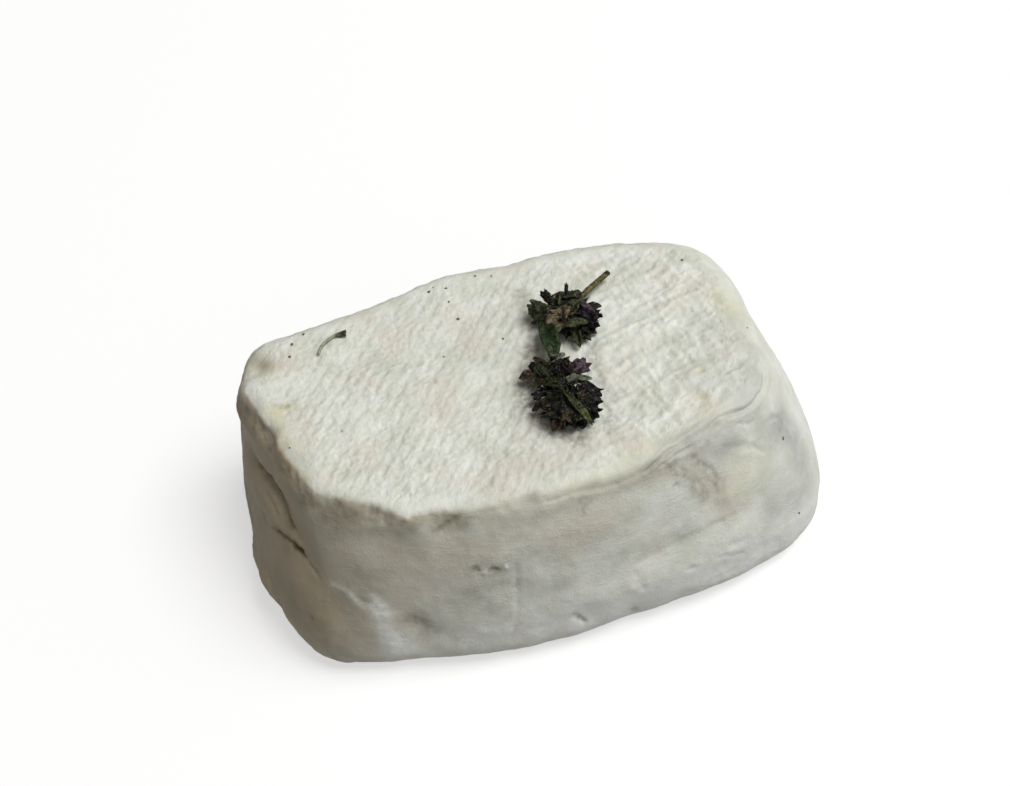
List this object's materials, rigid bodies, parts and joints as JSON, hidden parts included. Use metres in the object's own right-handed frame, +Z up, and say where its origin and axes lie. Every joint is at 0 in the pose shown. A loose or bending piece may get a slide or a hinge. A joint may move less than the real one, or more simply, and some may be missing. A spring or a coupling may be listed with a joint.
{
  "type": "goat cheese log",
  "caption": "Soft white-rind goat's-cheese bar from a tapered mould, flat on its wide foot, with a sprig of flowering thyme laid on its mat-ribbed top.",
  "frame": {"origin": "middle of the foot that the cheese rests on", "axes": "+X along the bar's long side, +Y towards its back, +Z up through its top face"},
  "size_m": [0.1086, 0.0717, 0.044],
  "materials": {
    "white_rind": "matt, slightly moist, wrinkled soft cheese rind",
    "dried_thyme": "matt dried herb, dark olive to purple black",
    "dry_stalk": "matt dry grey-green plant stalk"
  },
  "bodies": {
    "root": {"cheese": "white_rind", "thyme_sprig": "dried_thyme", "stray_stalk": "dry_stalk"}
  },
  "joints": []
}
